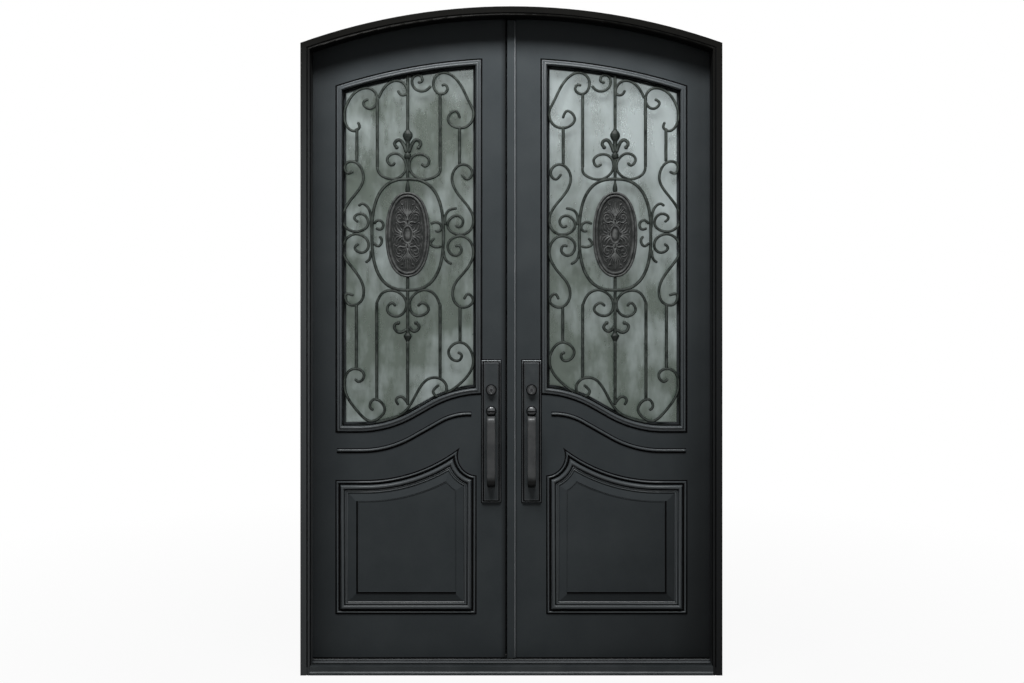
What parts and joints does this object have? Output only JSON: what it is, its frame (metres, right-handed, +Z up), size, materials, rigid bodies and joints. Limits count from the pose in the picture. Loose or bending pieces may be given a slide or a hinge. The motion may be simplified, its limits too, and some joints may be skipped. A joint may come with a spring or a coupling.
{
  "type": "arched double entry door",
  "caption": "Arched steel double entry door in its frame, with scrollwork grilles over hinged glazed sashes, raised lower panels, pull handles, lock and flush bolts.",
  "frame": {"origin": "middle of the sill's underside, halfway through the frame's depth", "axes": "+X right seen from outside, -Y towards the outside, +Z up"},
  "size_m": [1.562, 0.188, 2.477],
  "materials": {
    "leaf_paint": "satin charcoal paint",
    "frame_paint": "satin dark bronze-black paint",
    "grille_iron": "dark hand-finished wrought iron",
    "hardware": "oil-rubbed dark bronze",
    "glass": "cloudy hammered glass",
    "seal_rubber": "black weather seal",
    "hinge_steel": "brushed steel",
    "lock_steel": "brushed steel",
    "washer_brass": "plain brass",
    "sash_paint": "satin charcoal paint"
  },
  "bodies": {
    "frame": {"jamb_left": "frame_paint", "jamb_right": "frame_paint", "head": "frame_paint", "sill": "frame_paint", "frame_seal": "seal_rubber", "fixed_hinge_halves": "hinge_steel", "hinge_pins": "hinge_steel", "hinge_washers": "washer_brass"},
    "left_leaf": {"leaf_left": "leaf_paint", "meeting_channel_left": "leaf_paint", "glazing_moulding_left": "leaf_paint", "panel_moulding_left": "leaf_paint", "raised_panel_left": "leaf_paint", "inner_panel_left": "leaf_paint", "grille_left": "grille_iron", "medallion_left": "grille_iron", "finials_left": "grille_iron", "leaf_hinges_left": "hinge_steel", "sash_hinge_posts_left": "hinge_steel", "handle_plate_left": "hardware", "grip_left": "hardware", "leaf_seals_left": "seal_rubber", "inner_plate_left": "hardware", "cylinder_left": "hardware", "lock_case": "lock_steel"},
    "left_sash": {"sash_frame_left": "sash_paint", "glass_left": "glass", "sash_knuckles_left": "hinge_steel"},
    "left_turn_button": {"turn_button_left": "hardware"},
    "right_leaf": {"leaf_right": "leaf_paint", "meeting_channel_right": "leaf_paint", "glazing_moulding_right": "leaf_paint", "panel_moulding_right": "leaf_paint", "raised_panel_right": "leaf_paint", "inner_panel_right": "leaf_paint", "grille_right": "grille_iron", "medallion_right": "grille_iron", "finials_right": "grille_iron", "leaf_hinges_right": "hinge_steel", "sash_hinge_posts_right": "hinge_steel", "handle_plate_right": "hardware", "grip_right": "hardware", "leaf_seals_right": "seal_rubber", "inner_plate_right": "hardware", "cylinder_right": "hardware", "thumb_piece_right": "hardware", "strike_plate": "lock_steel", "astragal": "leaf_paint"},
    "right_sash": {"sash_frame_right": "sash_paint", "glass_right": "glass", "sash_knuckles_right": "hinge_steel"},
    "right_turn_button": {"turn_button_right": "hardware"},
    "thumb_piece": {"thumb_piece_left": "hardware"},
    "key_plug": {"key_plug": "hardware"},
    "thumbturn": {"thumbturn": "hardware"},
    "inner_lever": {"inner_lever": "hardware"},
    "latchbolt": {"latchbolt": "lock_steel"},
    "deadbolt": {"deadbolt": "lock_steel"},
    "flush_bolt_top": {"flush_bolt_top": "lock_steel"},
    "flush_bolt_bottom": {"flush_bolt_bottom": "lock_steel"}
  },
  "joints": [
    {"name": "left_leaf_hinge", "type": "hinge", "parent": "frame", "child": "left_leaf", "pos_m": [-0.761, 0.0815, 1.2], "axis": [0, 0, 1], "range_deg": [0, 110]},
    {"name": "left_sash_hinge", "type": "hinge", "parent": "left_leaf", "child": "left_sash", "pos_m": [-0.6615, 0.078, 1.5], "axis": [0, 0, 1], "range_deg": [0, 85]},
    {"name": "left_button_turn", "type": "hinge", "parent": "left_leaf", "child": "left_turn_button", "pos_m": [-0.099, 0.0725, 1.5], "axis": [0, 1, 0], "range_deg": [0, 90]},
    {"name": "right_leaf_hinge", "type": "hinge", "parent": "frame", "child": "right_leaf", "pos_m": [0.761, 0.0815, 1.2], "axis": [0, 0, -1], "range_deg": [0, 110]},
    {"name": "right_sash_hinge", "type": "hinge", "parent": "right_leaf", "child": "right_sash", "pos_m": [0.6615, 0.078, 1.5], "axis": [0, 0, -1], "range_deg": [0, 85]},
    {"name": "right_button_turn", "type": "hinge", "parent": "right_leaf", "child": "right_turn_button", "pos_m": [0.099, 0.0725, 1.5], "axis": [0, 1, 0], "range_deg": [0, 90]},
    {"name": "latchbolt_slide", "type": "slide", "parent": "left_leaf", "child": "latchbolt", "axis": [1, 0, 0], "range_m": [0, 0.012]},
    {"name": "thumb_turn", "type": "hinge", "parent": "left_leaf", "child": "thumb_piece", "pos_m": [-0.076, 0.0185, 0.963], "axis": [-1, 0, 0], "range_deg": [0, 14]},
    {"name": "deadbolt_slide", "type": "slide", "parent": "left_leaf", "child": "deadbolt", "axis": [1, 0, 0], "range_m": [0, 0.025]},
    {"name": "key_turn", "type": "hinge", "parent": "left_leaf", "child": "key_plug", "pos_m": [-0.076, 0, 1.048], "axis": [0, 1, 0], "range_deg": [0, 90]},
    {"name": "thumbturn_turn", "type": "hinge", "parent": "left_leaf", "child": "thumbturn", "pos_m": [-0.076, 0.08, 1.048], "axis": [0, 1, 0], "range_deg": [0, 90]},
    {"name": "inner_lever_turn", "type": "hinge", "parent": "left_leaf", "child": "inner_lever", "pos_m": [-0.076, 0.09, 0.963], "axis": [0, -1, 0], "range_deg": [0, 35], "stiffness_Nm_per_rad": 1, "springref_deg": -17.19},
    {"name": "flush_bolt_top_slide", "type": "slide", "parent": "right_leaf", "child": "flush_bolt_top", "axis": [0, 0, 1], "range_m": [0, 0.018]},
    {"name": "flush_bolt_bottom_slide", "type": "slide", "parent": "right_leaf", "child": "flush_bolt_bottom", "axis": [0, 0, -1], "range_m": [0, 0.018]}
  ],
  "couplings": [
    {"joint": "thumb_turn", "follows": "latchbolt_slide", "rad_per_m": 20.36},
    {"joint": "key_turn", "follows": "deadbolt_slide", "rad_per_m": 62.83},
    {"joint": "thumbturn_turn", "follows": "deadbolt_slide", "rad_per_m": 62.83}
  ]
}
